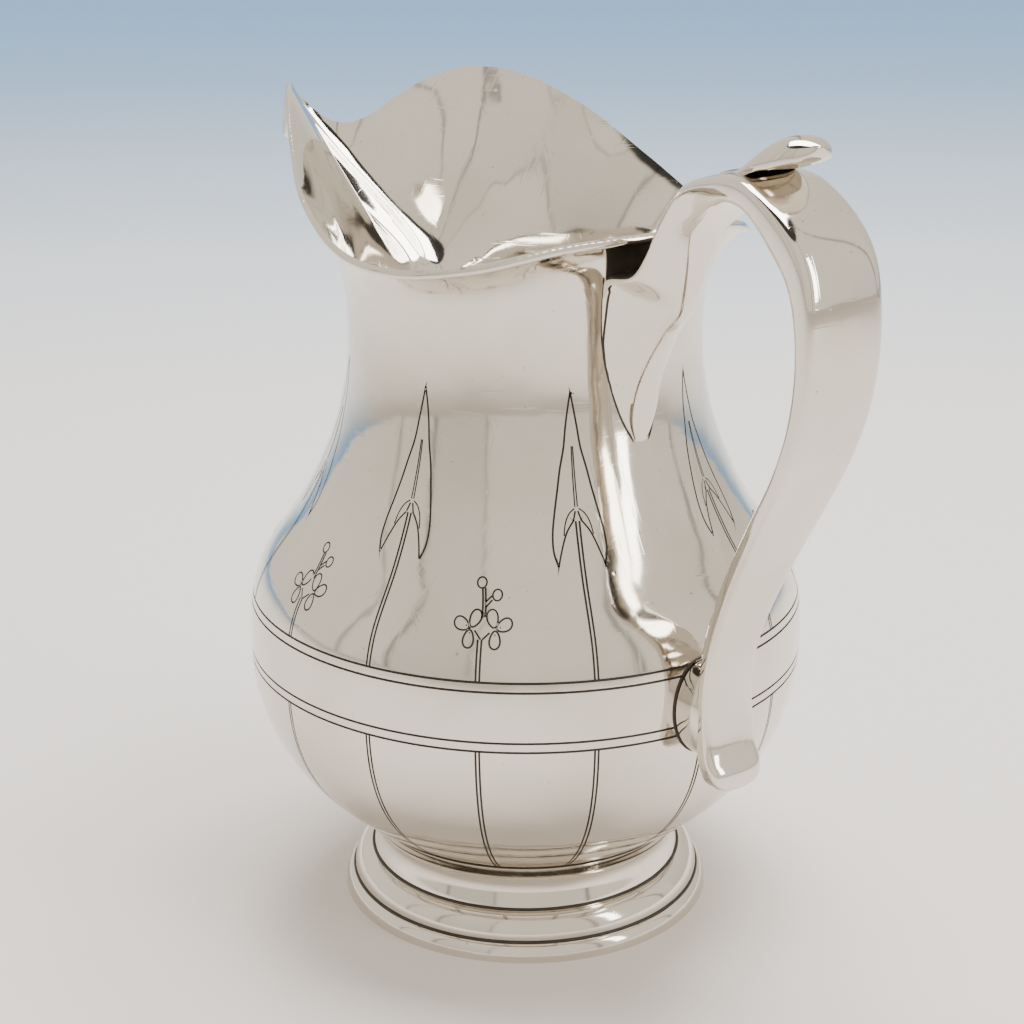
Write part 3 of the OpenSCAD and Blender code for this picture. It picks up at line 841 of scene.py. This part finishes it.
def thumbRing(t):
    # section of a domed tongue: the ridge lifts off the strap, the edges droop beside it
    c = thumb
    root = Vector((outX(0.02), upZ(1) - c["swell"] / 2))
    spot = bezier(root, root + Vector((c["length"] * 0.35, 0)),
                  root + Vector((c["length"] * 0.6, c["rise"] * c["lift"])),
                  root + Vector((c["length"], c["rise"] * c["tipLift"])), t)
    close = math.sqrt(max(1 - t ** 6, 0.004))
    wide = c["width"] / 2 * close * mix(c["rootWidth"], 1, min(t * 1.7, 1))
    drop = mix(c["rootDrop"], c["drop"], min(t * 1.4, 1)) * close
    ring = []
    for k in range(c["points"]):
        q = math.tau * k / c["points"]
        up = math.sin(q)
        height = spot.y - drop + (drop * up ** 0.75 if up > 0 else c["swell"] / 2 * up * close)
        ring.append(Vector((spot.x, wide * math.cos(q), height)) * mm)
    return ring


def makeThumbRest():
    # rings lie closer together towards the rounded tip
    bm = sweep([thumbRing(1 - (1 - k / thumb["rings"]) ** thumb["crowding"])
                for k in range(thumb["rings"] + 1)], True)
    closeEnds(bm)
    pieceFrom(bm, "thumbRest", handleSilver, ["thumb_rest"])


makeThumbRest()
print("thumb rest set")

setting = {
    "floorR": 9.0, "blueAt": 3.2, "lens": 74.64, "sensor": 36, "eye": (0.4701, -0.3415, 0.3140),
    "look": (-0.7695, 0.5513, -0.3224), "roll": -0.149, "floorRough": 0.75,
    # floor and its glow by distance along the camera's look, as a share of blueAt
    "floorStops": [(0.0, (0.84, 0.79, 0.76, 1)), (0.15, (0.84, 0.82, 0.81, 1)),
                   (0.23, (0.75, 0.79, 0.84, 1)), (0.34, (0.60, 0.70, 0.81, 1)),
                   (0.52, (0.40, 0.56, 0.74, 1)), (0.85, (0.27, 0.47, 0.70, 1))],
    "glowStops": [(0.0, (0, 0, 0, 1)), (0.14, (0, 0, 0, 1)), (0.34, (0.01, 0.05, 0.12, 1)),
                  (0.52, (0.03, 0.13, 0.30, 1)), (0.85, (0.05, 0.20, 0.46, 1))],
    # lamps: name, size, place, aim, watts, colour
    "lamps": [("topSoftbox", (1.1, 0.9), (-0.15, 0.25, 1.6), (0, 0, 0.1), 42, (1, 1, 1)),
              ("sideSoftbox", (0.22, 1.1), (1.5, 0.62, 0.8), (0, 0, 0.15), 7, (1, 0.98, 0.95))],
    # tent panels: azimuth of the middle and width in degrees, brightness
    "panels": [(-75, 34, 0.86), (-92.5, 2.2, 0.35), (-57.5, 1.6, 0.5), (-140, 60, 1.1), (-116, 2, 0.45),
               (9, 3, 0.4), (30, 30, 1.08), (62, 2.4, 0.4), (100, 50, 0.9), (140, 3, 0.4)],
    "panelBlur": 0.8, "tentColour": (1.10, 1.02, 0.90, 1), "tentStrength": 1.05,
}


def makeFloor():
    bm = bmesh.new()
    bmesh.ops.create_circle(bm, cap_ends=True, radius=setting["floorR"], segments=96)
    mesh = bpy.data.meshes.new("floor")
    bm.to_mesh(mesh)
    bm.free()
    floor = bpy.data.objects.new("floor", mesh)
    bpy.context.scene.collection.objects.link(floor)
    f = Finish("paleFloor")
    away = f.add("ShaderNodeVectorMath", {"operation": "DOT_PRODUCT"},
                 [f.place, (setting["look"][0], setting["look"][1], 0)])["Value"]
    share = away / setting["blueAt"]
    f.feed(base=f.colourRamp(share, setting["floorStops"]), rough=setting["floorRough"],
           glow=f.colourRamp(share, setting["glowStops"]))
    f.shader.inputs["Emission Strength"].default_value = 1.0
    mesh.materials.append(f.material)


def addLight(name, size, place, aim, power, colour):
    data = bpy.data.lights.new(name, "AREA")
    data.shape, data.size, data.size_y = "RECTANGLE", size[0], size[1]
    data.energy, data.color = power, colour
    lamp = bpy.data.objects.new(name, data)
    bpy.context.scene.collection.objects.link(lamp)
    lamp.location = place
    lamp.rotation_euler = (Vector(aim) - Vector(place)).to_track_quat("-Z", "Y").to_euler()
    lamp.visible_camera = False


def makeCamera():
    data = bpy.data.cameras.new("camera")
    data.lens, data.sensor_width = setting["lens"], setting["sensor"]
    data.clip_end = 50
    camera = bpy.data.objects.new("camera", data)
    bpy.context.scene.collection.objects.link(camera)
    look = Vector(setting["look"]).normalized()
    camera.rotation_euler = (look.to_track_quat("-Z", "Y").to_matrix()
                             @ Matrix.Rotation(math.radians(setting["roll"]), 3, "Z")).to_euler()
    camera.location = setting["eye"]
    bpy.context.scene.camera = camera


def makeWorld():
    # a cloth tent: panels of slightly different brightness, narrow gaps, and a dark roof round the lamp
    world = bpy.data.worlds.new("tent")
    bpy.context.scene.world = world
    world.use_nodes = True
    t = NodeTree(world.node_tree)
    way = t.add("ShaderNodeTexCoord", {}, [])["Generated"]
    parts = t.add("ShaderNodeSeparateXYZ", {}, [way])
    bearing = parts["Y"].math("ARCTAN2", parts["X"]) * (180 / math.pi)
    blur = setting["panelBlur"]
    tone = 1.0
    for azimuth, wide, level in setting["panels"]:
        apart = (bearing - azimuth).math("ABSOLUTE")
        tone = t.ramp(apart, wide * 0.5 - blur, wide * 0.5 + blur, level, 1.0) * tone
    rise = t.ramp(parts["Z"], 0.0, 0.75, 0.94, 1.12)
    roof = t.ramp(parts["Z"], 0.86, 0.885, 1.0, 0.05)
    background = t.nodes["Background"]
    t.put(t.blendColours(tone * rise * roof, (0, 0, 0, 1), setting["tentColour"]), background.inputs["Color"])
    background.inputs["Strength"].default_value = setting["tentStrength"]


makeFloor()
for lamp in setting["lamps"]:
    addLight(*lamp)
makeWorld()
makeCamera()
print("stage set")
